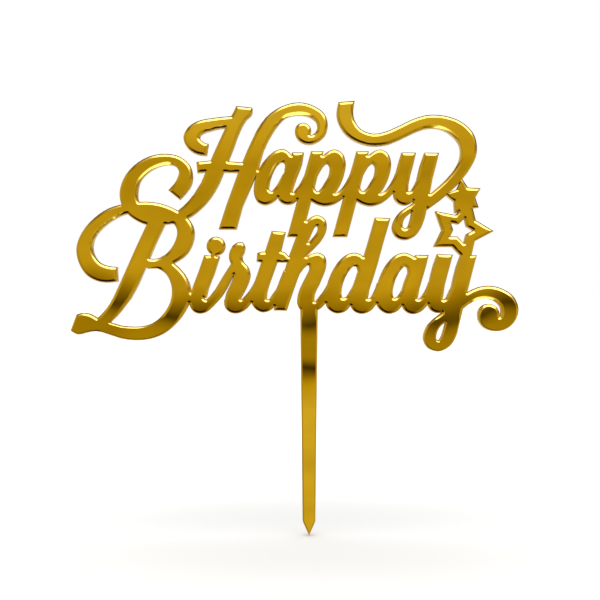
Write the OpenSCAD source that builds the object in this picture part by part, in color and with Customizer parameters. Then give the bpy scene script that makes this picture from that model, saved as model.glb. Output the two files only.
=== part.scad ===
// Two-line greeting cake topper, cut from one gold mirror acrylic sheet.
// X runs to the reader's right, Z runs up and the mirror side faces -Y.
// The origin is where the spike leaves the cake, in the middle of the sheet.

/* [Lettering] */
// Height of a small letter of the upper line, such as the a
x_height = 18.2; // [16:0.1:21]
// Width of an upright stroke, measured along the line of writing
stem_w = 5; // [4.5:0.1:5.5]
// Width of the tie between the i and its dot
dot_tie_w = 1.9; // [1.5:0.1:2.6]
// Width of the band of the outline star
star_band_w = 3.5; // [2.8:0.1:4.2]

/* [Spike] */
// Length from the shoulder to the point
spike_l = 78.8; // [50:0.5:110]
// Width at the shoulder
spike_top_w = 6.2; // [5.4:0.1:7]
// Width where the point begins
spike_end_w = 4.5; // [3.5:0.1:5.2]
// Length of the point
spike_point_l = 5.1; // [3:0.1:9]

/* [Sheet] */
// Thickness of the tinted acrylic in front
acrylic_t = 2.8; // [1.8:0.1:4.8]
// Thickness allowed for the mirror metal
mirror_t = 0.1; // [0.05:0.01:0.2]
// Thickness of the protective coat on the back
back_coat_t = 0.1; // [0.05:0.01:0.2]

/* [Hidden] */

gold = "#c79a1f";
mirror_gold = "#d8ae35";
coat_grey = "#8d8f93";

// Drawing grid of the lettering. A place on it is in squares, x from the left
// edge of the drawing and z up from the spike's shoulder. The small letters of
// the upper line are 52 squares high, and those of the lower line 57.
x_height_shares = 52;
square = x_height / x_height_shares;

// Grid line on which the spike stands
spike_x_shares = 309;

// Squares across an upright stroke, at which the tables below are drawn
stem_shares = 14.3;
weight = stem_w / (stem_shares * square);

// Largest turn of a curve from one facet to the next, in degrees
facet_turn = 8;

// The sheet's faces
sheet_t = acrylic_t + mirror_t + back_coat_t;
front_y = -sheet_t / 2;
mirror_y = front_y + acrylic_t;
coat_y = mirror_y + mirror_t;

// Strokes of the letters. A stroke is a row of rungs [x, z, x, z], each from
// one edge of the stroke to the other, and smooth edges run through them.
left_stem_H_shares = [
    [236.5, 203.6, 252.4, 201.9], [233.6, 197.5, 252.2, 196], [229.4, 190, 245.8, 189],
    [225.6, 182, 241.6, 182], [215.4, 160, 233.2, 160], [210.9, 149.5, 229, 149.5],
    [201, 126.8, 219.4, 126], [194.3, 115.9, 210.6, 111.4], [188.6, 108.8, 199.8, 99.6],
    [178, 99, 187, 90.8], [170, 94, 177, 88.5]
];
flag_H_shares = [
    [238, 194, 234, 181.4], [220.5, 192.5, 220.5, 181.3], [208, 190.8, 210.4, 178.7],
    [197.3, 188.2, 203.6, 176.5], [189, 182.8, 200.5, 174], [183.6, 172.5, 200, 171.4],
    [188.3, 161.2, 202.2, 168.6], [197, 155.5, 205.2, 166.6], [206.7, 154.2, 208.7, 165.9]
];
bar_H_shares = [
    [196.5, 147.7, 197.5, 136.8], [211, 149.2, 211, 137.9], [228, 148.3, 227, 137.3],
    [252, 146.5, 250, 137]
];
right_stem_H_shares = [
    [218.6, 80.4, 236.6, 80.3], [226.2, 104.1, 242.8, 103], [238, 136.8, 257.5, 136.8],
    [247, 158.6, 263.6, 158.6], [256.4, 178.6, 272.3, 176], [265.6, 191.8, 279.4, 186],
    [276.5, 200.5, 286.6, 192.4], [288, 205.4, 293.8, 194.3], [300, 207.1, 302, 194.7],
    [315, 202.9, 311.2, 191.9], [324.8, 195, 316.3, 187], [327.7, 184.1, 317.2, 182.2],
    [325.4, 175, 315.7, 177.8], [318.5, 168.3, 311.5, 174.6], [309.5, 165.3, 307, 175.5],
    [301.3, 167.3, 304.5, 177.5], [296.7, 171.9, 303.5, 179], [295.1, 176, 303, 181]
];
curl_ball_H_shares = [303, 178.6, 8.2];
tail_H_shares = [
    [170, 88.6, 166, 101], [160, 84.8, 158, 99], [147, 84.9, 148, 101], [133.6, 91, 141, 105],
    [124, 100.6, 138.4, 109.8], [119.9, 114, 138, 117.5], [123.2, 129.8, 141, 129.3],
    [133.6, 143.5, 149.8, 138.4], [149, 153, 160, 143.5], [166, 155.8, 168.5, 145.1],
    [179.5, 153.2, 175.8, 143.3], [190.5, 143.5, 179, 138.5], [192.6, 128.5, 177.3, 131],
    [179.9, 110, 168.4, 119.5]
];
a_1_shares = [
    [
        [299, 143, 285.5, 133.5], [292.5, 152.5, 284.3, 140], [289.5, 156.9, 284.9, 144.4],
        [287, 159, 284, 146.7], [282.5, 160.5, 281.7, 147.4],
        [275, 158.6, 278.2, 145.2], [266, 151, 273.8, 138.5], [257.6, 138, 271, 131],
        [254.3, 126, 269.6, 124.5], [254.2, 115, 269.6, 119.8], [258, 107.4, 271, 118.7],
        [265.5, 104.7, 274, 121], [273, 107.5, 278, 126.5], [281, 116, 283, 136]
    ],
    [
        [292.2, 157.3, 304, 157.2], [287.5, 145, 302.3, 145.9], [281.5, 131.4, 296.6, 131],
        [278.2, 121, 293.5, 121.5], [277.2, 113, 292.5, 117]
    ],
    [
        [277.2, 115, 290, 119], [279, 109.3, 291.3, 117.5], [285.5, 105.2, 292.7, 117.3],
        [292, 105.8, 295.2, 120], [300, 113, 300.5, 127], [309, 126, 306.5, 141]
    ]
];
p_shares = [
    [
        [310.9, 158.4, 323.6, 158.4], [304.4, 135, 318, 135], [297.1, 109.5, 311.7, 109.5],
        [287.1, 72.9, 301.9, 72.9]
    ],
    [
        [318, 151, 317.2, 133], [325, 156, 321, 139.8], [329, 158.6, 323.7, 143.8],
        [333.6, 160.1, 327, 145.9],
        [341, 157.5, 329.1, 143.3], [345.7, 147, 329.3, 138.3], [345, 138.5, 328, 133],
        [341, 126.5, 324.2, 126.5], [334.3, 115.7, 320, 120.4], [326, 109, 316.9, 118.4],
        [316, 107.5, 315.5, 120.4], [310, 112, 314.6, 126]
    ],
    [
        [307, 119, 308, 111], [315.2, 118.4, 315.8, 105.8], [323, 117, 324.2, 103.6],
        [331, 115.5, 333, 105.2], [337.7, 117.9, 342.5, 111.2], [345, 126.4, 351, 121],
        [350.6, 138, 356, 138]
    ]
];
p_step_shares = 45.3;
arm_y_1_shares = [
    [401.4, 157.2, 415.9, 157], [397.9, 145.9, 413.1, 145], [395.2, 135, 410.1, 134],
    [393.4, 125, 408.4, 125], [393, 117, 408.2, 117.5], [396, 109, 406, 111]
];
turn_y_1_shares = [
    [393, 119, 405, 121], [394.4, 110.4, 407, 118.8], [399, 105.8, 408.4, 118.1],
    [404.5, 104.4, 409.6, 118.4], [410.5, 106.5, 412.2, 121.7], [418, 117, 416.5, 130]
];
stem_y_1_shares = [
    [424.2, 157, 438.9, 156.8], [419.4, 143, 435.3, 142], [416.4, 130, 432.2, 130],
    [414, 115, 429.4, 114], [411.4, 98.5, 426.2, 98.5], [408.9, 87, 421.8, 83.8],
    [406.9, 82.8, 414.5, 73.6], [404.5, 81.4, 405.5, 69.8], [403, 82.8, 396.3, 72.3],
    [402.8, 87, 391.7, 81.4], [404, 90.2, 393.8, 89.7], [406.6, 93.6, 400.3, 98.4],
    [411, 97.4, 409, 104], [418, 103, 416, 110]
];
stem_y_1_cut_shares = 7;
swash_y_1_shares = [
    [354.7, 208.7, 338.2, 207.3], [354, 190.5, 336.5, 194.5], [360.7, 180.5, 346, 174.8],
    [373.6, 175.8, 368, 164.2], [390, 179.6, 388, 165.3], [409, 188.8, 407.5, 173.9],
    [425.5, 194.3, 424, 180.8], [443.6, 193.9, 440.5, 180.6], [461.8, 187.2, 452.3, 173.7],
    [473.6, 175, 459.2, 164.5], [476.4, 156.5, 459.7, 151.8], [467.5, 137.5, 451.5, 136.6],
    [450.6, 118.3, 437.3, 122.3], [427.6, 100.2, 420, 108]
];
stem_B_shares = [
    [146.6, 84.9, 166, 87], [137.7, 65.8, 156, 66], [129, 46.3, 147.7, 46.3],
    [120.3, 26.8, 139, 26], [113.2, 11.8, 131, 11.2], [106.2, 0.9, 122, -0.8],
    [97.6, -8.2, 111, -12.2], [90, -14, 98, -20]
];
upper_bowl_B_shares = [
    [138.4, 107.7, 146.6, 84.9], [154, 107.6, 158, 84.6], [166.5, 104.5, 167.5, 85.4],
    [177.7, 99.3, 173.6, 85.8], [188.6, 91, 176.8, 81.2], [194.2, 80.5, 177.3, 76],
    [193.9, 69.5, 175, 67.9], [187.4, 55.9, 169.2, 58.8], [174.3, 46.4, 162.4, 53.2],
    [162, 42, 155, 51], [144, 42, 147, 52]
];
lower_bowl_B_shares = [
    [163, 54, 148, 41], [174.3, 46.4, 157.8, 41.2], [184.4, 36.2, 165.8, 36.3],
    [190.7, 22.8, 171.3, 25.4], [190.4, 9.5, 171.6, 12.5], [184.9, -2.8, 167, 1.2],
    [176.3, -13.8, 160.4, -7.3], [164, -23.9, 151.6, -13.6], [150, -29.2, 142.5, -16.2],
    [135.5, -30.4, 132.5, -16.6], [120.7, -28.4, 121.5, -15.6], [107.7, -24.1, 109.5, -12.2],
    [97.2, -21.3, 98.5, -8.4], [88, -22.6, 91.4, -4.3], [78.5, -24.6, 84, -2.8],
    [71, -20.6, 76.9, -4.6]
];
swash_B_shares = [
    [134, 108, 137, 96], [120.4, 105.1, 125, 95.3], [109, 101.4, 115.6, 91.2],
    [95, 92.1, 104.2, 83], [82.3, 77.4, 95.2, 72.2], [76.8, 62, 93, 62],
    [79, 48, 95.5, 53], [88, 34, 101.2, 46.7], [101, 27.8, 108.5, 44],
    [118, 28.4, 117.4, 42.9]
];
stem_i_shares = [
    [204.3, 54.7, 220.2, 53.5], [198.4, 37.6, 215, 37], [192.1, 21.5, 209, 22],
    [189.6, 11, 206.6, 12]
];
turn_i_shares = [
    [189.5, 13, 203, 14], [190.4, 3, 204.4, 11.4], [194.4, -2.2, 205.3, 10.6],
    [200.2, -3.9, 206.3, 10.4], [206.2, -2.5, 207.8, 11.6], [212.6, 2.7, 210.7, 14.8],
    [222.5, 14, 215.6, 21], [231.1, 29, 222.8, 33.2], [237, 42, 230.3, 45], [241.5, 53, 235, 54]
];
dot_i_shares = [216.1, 63.7, 9.4];
dot_tie_x_shares = 213.6;
dot_tie_z_shares = [51, 62];
stem_r_shares = [
    [238.2, 67.6, 242.8, 67.6], [233.5, 64.8, 245.2, 63.6], [229.9, 58.5, 244.7, 57.5],
    [229, 52.5, 242.6, 52.5], [230.4, 47.2, 243.4, 48.8], [234, 41, 248.5, 42.4],
    [233.6, 34, 250.7, 34.8], [231, 26.5, 248.9, 27], [226.3, 16.5, 243.8, 16.5],
    [224.2, 8, 240.2, 10.4]
];
turn_r_shares = [
    [224.2, 10, 237, 12.4], [225.5, 1.7, 239.4, 11.3], [230.5, -2.7, 240.8, 10.8],
    [237.2, -3.7, 242, 11.2], [244.7, -0.6, 244.6, 13.7], [252.5, 8, 250, 20.2],
    [260, 21, 256, 31.6], [265, 37, 260.2, 44.5]
];
stem_t_shares = [
    [271.7, 79, 285.8, 77.6], [264.8, 58, 281.2, 57.5], [260.6, 46, 277.1, 46],
    [255.6, 31, 271.7, 31], [251.7, 17.5, 267.4, 17], [250.7, 9, 267, 11]
];
turn_t_shares = [
    [250.7, 12, 264, 13], [252, 5.6, 266.3, 11.2], [256.1, 0.2, 267.6, 10.6],
    [262.5, -2.6, 269, 11], [268.8, -1.4, 271, 13.8], [277.5, 7, 275.8, 20.3],
    [286, 24, 280, 30.8], [290, 36, 283.8, 40]
];
bar_t_shares = [
    [257.2, 56.8, 256.6, 48.2], [261, 58, 260, 47.5], [272, 57.9, 272, 47.4],
    [284.6, 57.6, 283, 47.4], [288.8, 53.4, 290, 47.3]
];
stem_h_shares = [
    [273.4, -0.6, 287, -0.9], [277.6, 15, 292.2, 15], [281.8, 30.5, 297.6, 30.5],
    [286, 44.5, 303, 44], [289.2, 54.5, 305, 54], [292, 62.3, 306.4, 60.5], [296, 73, 309.7, 71.3],
    [301, 82.6, 312.8, 78.6], [308, 90.7, 315.2, 82.9], [318.2, 94.4, 316.9, 83.7],
    [325.3, 90, 317.5, 82.6], [326.8, 81.5, 317.2, 79.2], [323.9, 73, 315, 75.2],
    [319.4, 66.6, 311.2, 70.8], [314.4, 61.4, 307, 65.4], [304, 51, 298, 55]
];
stem_h_cut_shares = 9;
arch_h_shares = [
    [299, 46, 296, 31], [305.2, 52.6, 301.6, 38.4], [311.7, 56, 305.6, 43.2],
    [318.8, 57.1, 308.4, 44.6], [324.8, 53.2, 309.2, 42], [326.5, 45.5, 307.8, 37.3],
    [324.2, 36.3, 305.3, 32.5], [319.6, 25.4, 300.8, 23.6], [315.4, 16.6, 297.7, 14.8],
    [314.4, 8.6, 296.9, 7]
];
foot_h_shares = [[298.4, 2.4], [296.9, 7], [298.4, 13], [311, 13], [314.4, 8.6]];
turn_h_shares = [
    [308, 9, 309, 0], [314.5, 8.6, 318.6, 0], [318, 12.2, 322.8, 3.3],
    [324.5, 20.8, 330, 13.5], [331, 34, 337, 31]
];
bowl_d_shares = [
    [370, 44, 357.6, 32.5], [364.5, 52, 357.4, 39.9], [360.5, 55.4, 356.2, 42.9],
    [354, 57.1, 354, 43.6], [345.3, 54.4, 350.8, 41.2], [337.5, 47.2, 346.8, 35.4],
    [330.6, 35.6, 343.6, 28.4], [326.2, 22, 341.8, 20.5], [324.8, 10, 341.6, 14.8],
    [327.6, 1.4, 342.6, 12.2], [336, -3.6, 345, 12.6], [344.5, -2, 349, 17.6],
    [352.5, 7, 354, 27], [358, 18, 357, 36]
];
stem_d_shares = [
    [374.7, 92.2, 390.4, 91.5], [367.4, 66.6, 383.2, 66.6], [361.6, 47, 377.8, 46.5],
    [356.7, 36, 374.2, 35], [351.9, 21, 369.4, 20.5], [350, 11, 368.1, 11.9]
];
turn_d_shares = [
    [350, 12, 366, 13.8], [350.2, 4.6, 367.6, 11.5], [354.3, -1.8, 368.7, 11.3],
    [361.3, -4.1, 369.9, 11.9], [368.6, -2.2, 372.1, 15], [379.4, 12, 377, 27]
];
a_2_shares = [
    [
        [421, 44, 407.2, 32.5], [415.5, 52, 407.3, 39.5], [411.6, 54.7, 406.4, 42.4],
        [405, 57.1, 404.6, 43.4],
        [396.5, 55.2, 401.8, 41.2], [387.5, 47.2, 397.8, 35.6], [380.6, 35, 394.8, 28.4],
        [376.4, 22, 392.9, 21], [375.2, 10, 392.9, 14.6], [378.6, 1.4, 394, 12],
        [387.5, -4, 396.6, 13], [396, -2, 400.4, 18], [404, 7, 405.4, 27], [409, 18, 408.5, 36]
    ],
    [
        [415.3, 54.9, 428.5, 54.7], [410.6, 43.5, 425.8, 43.5], [406.4, 34, 423, 34],
        [402, 21, 419.2, 21], [401.3, 11, 417.8, 11.9]
    ],
    [
        [401.3, 12, 416, 13.9], [401.9, 3.7, 417.2, 11.3], [405.8, -2, 418.2, 11],
        [412.8, -4.4, 419.6, 11.7], [420.6, -1.8, 422.5, 15], [432, 14, 428.5, 28]
    ]
];
arm_y_2_shares = [
    [437, 55.8, 452.6, 55.2], [433.4, 46, 450, 45], [430.6, 36, 447.2, 35],
    [428.2, 25, 444.5, 24.5], [427, 14, 443, 14], [429, 5, 442, 8]
];
turn_y_2_shares = [
    [427, 14, 441, 15], [427.4, 5.8, 442.3, 11.2], [430.4, -0.3, 443.4, 10.4],
    [437.4, -3.2, 444.8, 11], [444.5, -1.7, 447.6, 15.6], [456, 10, 453, 27]
];
stem_y_2_shares = [
    [460.3, 54.8, 476.5, 54.6], [455.9, 43, 473.3, 42.5], [452.9, 31.5, 470.1, 30],
    [450, 18, 466.6, 16], [447.6, 3, 462.9, 1.5], [445.2, -11.8, 460, -10.5],
    [442.4, -22, 457.1, -23], [439.8, -28.6, 450.4, -35.2], [437.9, -30.6, 437.5, -41.5],
    [436.5, -29.4, 427, -37.5], [436.2, -25.6, 422.9, -27.7], [437.6, -20.5, 425.8, -17.7],
    [440.7, -16, 433.1, -9.1], [445.6, -12, 441.3, -2.9], [454, -6, 450, 4]
];
stem_y_2_cut_shares = 8;
swash_y_2_shares = [
    [456, 10, 455, -6], [467.1, 17.6, 463.3, 1.5], [478, 22.7, 473, 8.4],
    [490, 24.1, 485, 11.4], [503, 20.6, 493.6, 9.1], [513.9, 12.4, 499.8, 3],
    [518.2, 0.6, 500.8, -1.6], [514, -12, 499.2, -6.8], [503.3, -20, 496.6, -9],
    [491.5, -21, 493, -8], [482.4, -16.9, 489.5, -6], [477.6, -9.2, 487, -3]
];
curl_ball_y_2_shares = [488.3, -4.8, 11];

// Ties where two letters only just touch
tie_H_a_shares = [[250, 133.5], [262, 133.5], [262, 139.5], [250, 139.5]];
tie_B_i_shares = [[184, 8.5], [196, 8.5], [196, 15], [184, 15]];

// Stars, which are a little irregular, from the upper point on clockwise
star_small_shares = [
    [461.5, 131.5], [467.6, 122.2], [480.3, 121.4], [475, 111.9], [478.4, 102.2],
    [466, 101], [454.4, 96.5], [453.5, 108.2], [445.2, 115.2], [456.3, 120.3]
];
star_large_shares = [
    [470.5, 110], [475.4, 89.5], [493.3, 78.7], [474.6, 68.8], [469, 45],
    [451.8, 63], [433.2, 63], [441.4, 79.6], [434.8, 98.7], [455, 94.8]
];
star_large_centre_shares = [460.2, 79.7];

// From the large star's centre to its sides
star_side_shares = 16.1;

// A place on the drawing grid, in the frame of the part
function on_grid(p) = [p[0] - spike_x_shares, p[1]] * square;

// One edge of a stroke: side -1 is the first edge of its rungs, side 1 the second
function edge(rungs, side) = [
    for (r = rungs)
        let (middle = [r[0] + r[2], r[1] + r[3]] / 2)
        let (half = [r[2] - r[0], r[3] - r[1]] / 2)
        on_grid(middle + side * weight * half)
];

// Distance from point i to the next one
function span(p, i) = norm(p[i + 1] - p[i]);

// Straight direction from point i to the next one
function chord(p, i) = (p[i + 1] - p[i]) / span(p, i);

// Direction in which the curve passes point i
function heading(p, i) =
    len(p) == 2 ? chord(p, 0)
    : i == 0 ? 1.5 * chord(p, 0) - 0.5 * heading(p, 1)
    : i == len(p) - 1 ? 1.5 * chord(p, i - 1) - 0.5 * heading(p, i - 1)
    : (span(p, i) * chord(p, i - 1) + span(p, i - 1) * chord(p, i)) / (span(p, i - 1) + span(p, i));

// Angle between two directions
function angle(a, b) = acos(max(-1, min(1, a * b / (norm(a) * norm(b)))));

// Facets that the curve needs from point i to the next one
function facets(p, i) =
    let (bend = angle(heading(p, i), chord(p, i)) + angle(chord(p, i), heading(p, i + 1)))
    max(1, ceil(bend / facet_turn));

// Point of the curve at t, from 0 at point i to 1 at the next one
function between(p, i, t) =
    let (away = heading(p, i) * span(p, i))
    let (home = heading(p, i + 1) * span(p, i))
    p[i] * (2 * t * t * t - 3 * t * t + 1) + away * (t * t * t - 2 * t * t + t)
    + p[i + 1] * (3 * t * t - 2 * t * t * t) + home * (t * t * t - t * t);

// Smooth curve through the points from first to last
function smooth(p, first, last) = [
    for (i = [first : last - 1])
        let (n = facets(p, i))
        for (k = [0 : n - 1])
            between(p, i, k / n),
    p[last]
];

// The same list, last point first
function backwards(p) = [for (i = [len(p) - 1 : -1 : 0]) p[i]];

// Twice the area inside a ring of points, below zero where it runs clockwise
function ring_area(p, i = 0) =
    i == len(p) ? 0
    : let (q = p[(i + 1) % len(p)])
        p[i][0] * q[1] - p[i][1] * q[0] + ring_area(p, i + 1);

// A flat shape from a ring of points, always drawn counter-clockwise
module ring(p) {
    polygon(ring_area(p) < 0 ? backwards(p) : p);
}

// A stroke of the pen, from rung first to rung last
module stretch(rungs, first, last) {
    near = smooth(edge(rungs, -1), first, last);
    far = smooth(edge(rungs, 1), first, last);
    ring(concat(near, backwards(far)));
}

// A whole stroke
module stroke(rungs) {
    stretch(rungs, 0, len(rungs) - 1);
}

// A stroke that crosses itself, drawn as two stretches that share a rung
module looped_stroke(rungs, cut) {
    stretch(rungs, 0, cut);
    stretch(rungs, cut, len(rungs) - 1);
}

// A round end or dot
module disc(ball) {
    translate(on_grid(ball))
        circle(r = ball[2] * square, $fn = 48);
}

// A flat shape with straight sides
module patch(corners) {
    ring([for (p = corners) on_grid(p)]);
}

// Flat shapes of the letters
module H_shape() {
    stroke(left_stem_H_shares);
    stroke(flag_H_shares);
    stroke(bar_H_shares);
    stroke(right_stem_H_shares);
    disc(curl_ball_H_shares);
}

module tail_H_shape() {
    stroke(tail_H_shares);
}

module a_1_shape() {
    for (s = a_1_shares)
        stroke(s);
    patch(tie_H_a_shares);
}

module p_shape(step_shares) {
    translate([step_shares * square, 0])
        for (s = p_shares)
            stroke(s);
}

module y_1_shape() {
    stroke(arm_y_1_shares);
    stroke(turn_y_1_shares);
    looped_stroke(stem_y_1_shares, stem_y_1_cut_shares);
}

module swash_y_1_shape() {
    stroke(swash_y_1_shares);
}

module B_shape() {
    stroke(stem_B_shares);
    stroke(upper_bowl_B_shares);
    stroke(lower_bowl_B_shares);
}

module swash_B_shape() {
    stroke(swash_B_shares);
}

module i_shape() {
    stroke(stem_i_shares);
    stroke(turn_i_shares);
    patch(tie_B_i_shares);
    disc(dot_i_shares);
    low = on_grid([dot_tie_x_shares, dot_tie_z_shares[0]]);
    high = on_grid([dot_tie_x_shares, dot_tie_z_shares[1]]);
    translate([low[0] - dot_tie_w / 2, low[1]])
        square([dot_tie_w, high[1] - low[1]]);
}

module r_shape() {
    stroke(stem_r_shares);
    stroke(turn_r_shares);
}

module t_shape() {
    stroke(stem_t_shares);
    stroke(turn_t_shares);
    stroke(bar_t_shares);
}

module h_shape() {
    looped_stroke(stem_h_shares, stem_h_cut_shares);
    stroke(arch_h_shares);
    stroke(turn_h_shares);
    corner = [for (p = foot_h_shares) on_grid(p)];
    ring(concat([[spike_top_w / 2, 0], [-spike_top_w / 2, 0]], corner));
}

module d_shape() {
    stroke(bowl_d_shares);
    stroke(stem_d_shares);
    stroke(turn_d_shares);
}

module a_2_shape() {
    for (s = a_2_shares)
        stroke(s);
}

module y_2_shape() {
    stroke(arm_y_2_shares);
    stroke(turn_y_2_shares);
    looped_stroke(stem_y_2_shares, stem_y_2_cut_shares);
}

module swash_y_2_shape() {
    stroke(swash_y_2_shares);
    disc(curl_ball_y_2_shares);
}

module star_small_shape() {
    patch(star_small_shares);
}

module star_large_shape() {
    centre = star_large_centre_shares;
    shrink = 1 - star_band_w / (star_side_shares * square);
    difference() {
        patch(star_large_shares);
        patch([for (p = star_large_shares) centre + shrink * (p - centre)]);
    }
}

module spike_shape() {
    body_l = spike_l - spike_point_l;
    ring([
        [-spike_top_w / 2, 0], [-spike_end_w / 2, -body_l], [0, -spike_l],
        [spike_end_w / 2, -body_l], [spike_top_w / 2, 0]
    ]);
}

// The whole outline that is cut from the sheet
module outline() {
    H_shape();
    tail_H_shape();
    a_1_shape();
    p_shape(0);
    p_shape(p_step_shares);
    y_1_shape();
    swash_y_1_shape();
    B_shape();
    swash_B_shape();
    i_shape();
    r_shape();
    t_shape();
    h_shape();
    d_shape();
    a_2_shape();
    y_2_shape();
    swash_y_2_shape();
    star_small_shape();
    star_large_shape();
    spike_shape();
}

// A flat shape given the thickness of a layer that begins at y
module layer(y, t) {
    translate([0, y + t, 0])
        rotate([90, 0, 0])
            linear_extrude(height = t)
                children();
}

module acrylic() {
    color(gold)
        layer(front_y, acrylic_t)
            children();
}

// Letters and ornaments. Each ends face to face where the next one begins.
module capital_H() {
    acrylic() difference() {
        H_shape();
        a_1_shape();
        B_shape();
    }
}

module tail_H() {
    acrylic() difference() {
        tail_H_shape();
        B_shape();
        H_shape();
    }
}

module letter_a_1() {
    acrylic() difference() {
        a_1_shape();
        p_shape(0);
    }
}

module letter_p_1() {
    acrylic() difference() {
        p_shape(0);
        p_shape(p_step_shares);
        h_shape();
        t_shape();
    }
}

module letter_p_2() {
    acrylic() difference() {
        p_shape(p_step_shares);
        y_1_shape();
    }
}

module letter_y_1() {
    acrylic() y_1_shape();
}

module swash_y_1() {
    acrylic() difference() {
        swash_y_1_shape();
        y_1_shape();
        star_small_shape();
    }
}

module capital_B() {
    acrylic() difference() {
        B_shape();
        i_shape();
    }
}

module swash_B() {
    acrylic() difference() {
        swash_B_shape();
        tail_H_shape();
        B_shape();
    }
}

module letter_i() {
    acrylic() difference() {
        i_shape();
        r_shape();
    }
}

module letter_r() {
    acrylic() difference() {
        r_shape();
        t_shape();
    }
}

module letter_t() {
    acrylic() difference() {
        t_shape();
        h_shape();
    }
}

module letter_h() {
    acrylic() difference() {
        h_shape();
        d_shape();
    }
}

module letter_d() {
    acrylic() difference() {
        d_shape();
        a_2_shape();
    }
}

module letter_a_2() {
    acrylic() difference() {
        a_2_shape();
        y_2_shape();
    }
}

module letter_y_2() {
    acrylic() y_2_shape();
}

module swash_y_2() {
    acrylic() difference() {
        swash_y_2_shape();
        y_2_shape();
    }
}

module star_small() {
    acrylic() star_small_shape();
}

module star_large() {
    acrylic() difference() {
        star_large_shape();
        star_small_shape();
        y_2_shape();
    }
}

module spike() {
    acrylic() spike_shape();
}

module mirror_layer() {
    color(mirror_gold)
        layer(mirror_y, mirror_t)
            outline();
}

module back_coat() {
    color(coat_grey)
        layer(coat_y, back_coat_t)
            outline();
}

capital_H();
tail_H();
letter_a_1();
letter_p_1();
letter_p_2();
letter_y_1();
swash_y_1();
capital_B();
swash_B();
letter_i();
letter_r();
letter_t();
letter_h();
letter_d();
letter_a_2();
letter_y_2();
swash_y_2();
star_small();
star_large();
spike();
mirror_layer();
back_coat();
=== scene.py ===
"""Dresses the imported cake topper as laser-cut gold mirror acrylic in a plain white studio."""

import logging
import math
from collections import defaultdict
from dataclasses import dataclass, field
from enum import Enum
from itertools import combinations

import bmesh
import bpy
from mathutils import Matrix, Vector
from mathutils.bvhtree import BVHTree


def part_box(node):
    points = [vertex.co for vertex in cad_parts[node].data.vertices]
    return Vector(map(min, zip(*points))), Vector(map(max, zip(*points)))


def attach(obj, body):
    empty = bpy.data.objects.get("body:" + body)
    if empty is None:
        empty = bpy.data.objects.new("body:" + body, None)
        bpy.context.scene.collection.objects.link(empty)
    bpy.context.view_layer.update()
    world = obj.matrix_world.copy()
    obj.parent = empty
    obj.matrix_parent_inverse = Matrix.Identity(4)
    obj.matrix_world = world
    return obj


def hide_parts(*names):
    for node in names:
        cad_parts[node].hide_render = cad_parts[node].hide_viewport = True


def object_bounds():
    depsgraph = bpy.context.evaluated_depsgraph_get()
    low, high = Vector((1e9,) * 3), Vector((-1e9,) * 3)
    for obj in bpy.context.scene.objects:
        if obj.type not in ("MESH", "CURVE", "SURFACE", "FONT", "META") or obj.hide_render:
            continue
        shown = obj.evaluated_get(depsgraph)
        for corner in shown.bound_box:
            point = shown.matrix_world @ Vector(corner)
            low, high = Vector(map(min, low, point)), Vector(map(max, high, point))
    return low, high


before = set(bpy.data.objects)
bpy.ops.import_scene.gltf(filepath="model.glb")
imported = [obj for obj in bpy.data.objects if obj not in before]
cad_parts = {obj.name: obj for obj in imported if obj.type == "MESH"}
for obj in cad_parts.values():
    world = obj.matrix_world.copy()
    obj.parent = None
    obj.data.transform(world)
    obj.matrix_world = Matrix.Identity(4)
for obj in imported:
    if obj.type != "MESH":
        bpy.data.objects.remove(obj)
CAD_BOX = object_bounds()

MM = 0.001
ACRYLIC_IOR = 1.49
WHITE = (1.0, 1.0, 1.0, 1.0)
METAL_NODE = "mirror_layer"
COAT_NODE = "back_coat"
INNER_CURVE = "inner_curve"
LOG = logging.getLogger("cake_topper")

Ring = list[bmesh.types.BMVert]
Shares = list[float]
Span = tuple[float, float]
Bands = list[tuple[float, str]]
Socket = bpy.types.NodeSocket


class Slot(Enum):
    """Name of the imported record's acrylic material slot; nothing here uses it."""

    ACRYLIC = "tinted_acrylic"


class Part(Enum):
    """Parts of the sheet's surface, by their material number."""

    FACE = 0
    RIM = 1
    WALL = 2


def linear(code: str) -> tuple[float, float, float, float]:
    """Turns an sRGB hex colour into linear values.

    Args:
        code: Colour such as "#CDA11D".

    Returns:
        Red, green, blue and alpha.
    """
    parts = [int(code[i:i + 2], 16) / 255 for i in (1, 3, 5)]
    return (*(p / 12.92 if p <= 0.04045 else ((p + 0.055) / 1.055) ** 2.4 for p in parts), 1.0)


def add_node(tree: bpy.types.NodeTree, kind: str, settings: dict | None = None,
             inputs: dict | None = None) -> bpy.types.Node:
    """Adds a node with its settings, values and links.

    Args:
        tree: Node tree that gets the node.
        kind: Type name of the node.
        settings: Properties of the node, by name.
        inputs: Values or output sockets, by the input's name or number.

    Returns:
        The new node.
    """
    node = tree.nodes.new(kind)
    for name, value in (settings or {}).items():
        setattr(node, name, value)
    for key, value in (inputs or {}).items():
        if isinstance(value, bpy.types.NodeSocket):
            tree.links.new(value, node.inputs[key])
        else:
            node.inputs[key].default_value = value
    return node


def fill_ramp(node: bpy.types.Node, stops: list[tuple[float, tuple]]) -> None:
    """Gives a Color Ramp its stops.

    Args:
        node: The Color Ramp node.
        stops: Place from 0 to 1 and linear colour of each stop, in order.
    """
    elements = node.color_ramp.elements
    while len(elements) < len(stops):
        elements.new(1.0)
    for element, (place, colour) in zip(elements, stops):
        element.position = place
        element.color = colour


def new_material(name: str) -> tuple[bpy.types.Material, bpy.types.NodeTree]:
    """Makes a material with an empty node tree.

    Args:
        name: Name of the material.

    Returns:
        The material and its node tree.
    """
    material = bpy.data.materials.new(name)
    material.use_nodes = True
    material.node_tree.nodes.clear()
    return material, material.node_tree


def clamp(value: float) -> float:
    """Keeps a value between 0 and 1."""
    return min(max(value, 0.0), 1.0)


def pattern_scale(size_mm: float) -> float:
    """Scale of a noise whose grains are size_mm across, on coordinates in metres."""
    return 1 / (size_mm * MM)


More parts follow.
